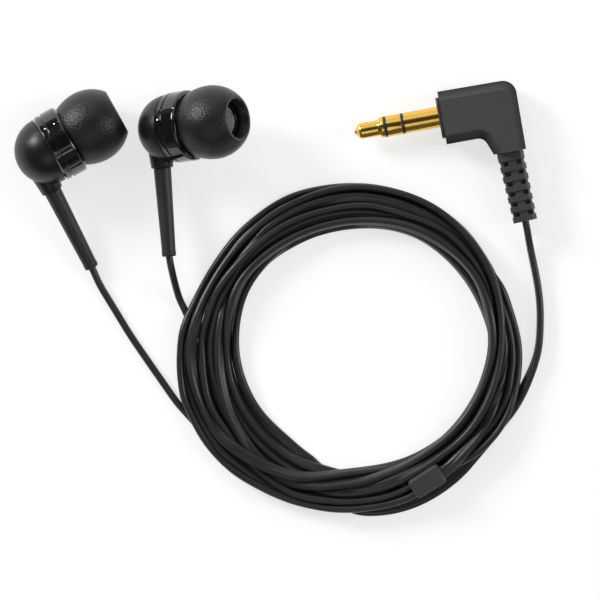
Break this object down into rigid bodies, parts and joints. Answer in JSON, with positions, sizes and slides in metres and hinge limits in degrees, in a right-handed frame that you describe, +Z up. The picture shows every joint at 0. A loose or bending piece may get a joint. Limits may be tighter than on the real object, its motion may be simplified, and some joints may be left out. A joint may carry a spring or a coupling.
{
  "type": "wired earphones",
  "caption": "Wired in-ear earphones laid flat: soft-tipped earpieces on slim stems, cord in a loose round loop with a splitter, and a right-angle 3.5 mm stereo plug.",
  "frame": {"origin": "on the surface the earphones lie on, below the middle of the two earpieces", "axes": "+X from the left earpiece to the right one, along their greatest length, towards the plug; +Y away from the loop of cord; +Z up from the surface"},
  "size_m": [0.0885, 0.0732, 0.0162],
  "materials": {
    "shell": "matte",
    "gloss_trim": "high gloss",
    "nozzle_mesh": "fine woven wire",
    "silicone": "soft matte silicone",
    "boot": "soft matte",
    "plug": "satin moulded",
    "splitter": "satin moulded",
    "cord": "satin jacket",
    "gold": "gold plated, polished",
    "insulator": "matte",
    "inner_mould": "matte",
    "steel": "plated",
    "magnet": "nickel plated",
    "copper": "enamelled copper wire",
    "film": "thin clear film",
    "board": "lacquered",
    "damping_paper": "plain"
  },
  "bodies": {
    "root": {"left_rear_shell": "shell", "left_trim_ring": "gloss_trim", "left_front_shell": "gloss_trim", "left_nozzle_mesh": "nozzle_mesh", "left_driver_frame": "steel", "left_magnet_cup": "steel", "left_magnet": "magnet", "left_pole_plate": "steel", "left_terminal_board": "board", "left_rear_damper": "damping_paper", "left_stem_boot": "boot", "left_cord_crimp": "copper", "right_rear_shell": "shell", "right_trim_ring": "gloss_trim", "right_front_shell": "gloss_trim", "right_nozzle_mesh": "nozzle_mesh", "right_driver_frame": "steel", "right_magnet_cup": "steel", "right_magnet": "magnet", "right_pole_plate": "steel", "right_terminal_board": "board", "right_rear_damper": "damping_paper", "right_stem_boot": "boot", "right_cord_crimp": "copper", "plug_tip_contact": "gold", "plug_front_insulator": "insulator", "plug_ring_contact": "gold", "plug_rear_insulator": "insulator", "plug_sleeve_contact": "gold", "plug_front_flange": "plug", "plug_housing": "plug", "plug_inner_mould": "inner_mould", "plug_strain_relief": "plug", "y_splitter": "splitter", "cord_loop": "cord", "cord_left": "cord", "cord_right": "cord", "cord_plug_end": "cord"},
    "right_ear_tip": {"right_ear_tip": "silicone"},
    "left_ear_tip": {"left_ear_tip": "silicone"},
    "left_membrane": {"left_diaphragm": "film", "left_voice_coil": "copper"},
    "right_membrane": {"right_diaphragm": "film", "right_voice_coil": "copper"}
  },
  "joints": [
    {"name": "right_tip_pull", "type": "slide", "parent": "root", "child": "right_ear_tip", "axis": [0.8398, 0.118, 0.5299], "range_m": [0, 0.009]},
    {"name": "left_tip_turn", "type": "hinge", "parent": "root", "child": "left_ear_tip", "pos_m": [-0.01395, 0.00466, 0.00617], "axis": [0.8729, 0.4879, 0], "continuous": true},
    {"name": "left_membrane_stroke", "type": "slide", "parent": "root", "child": "left_membrane", "axis": [0.8729, 0.4879, 0], "range_m": [-0.00015, 0.00015], "stiffness_N_per_m": 100},
    {"name": "right_membrane_stroke", "type": "slide", "parent": "root", "child": "right_membrane", "axis": [0.8398, 0.118, 0.5299], "range_m": [-0.00015, 0.00015], "stiffness_N_per_m": 100}
  ]
}
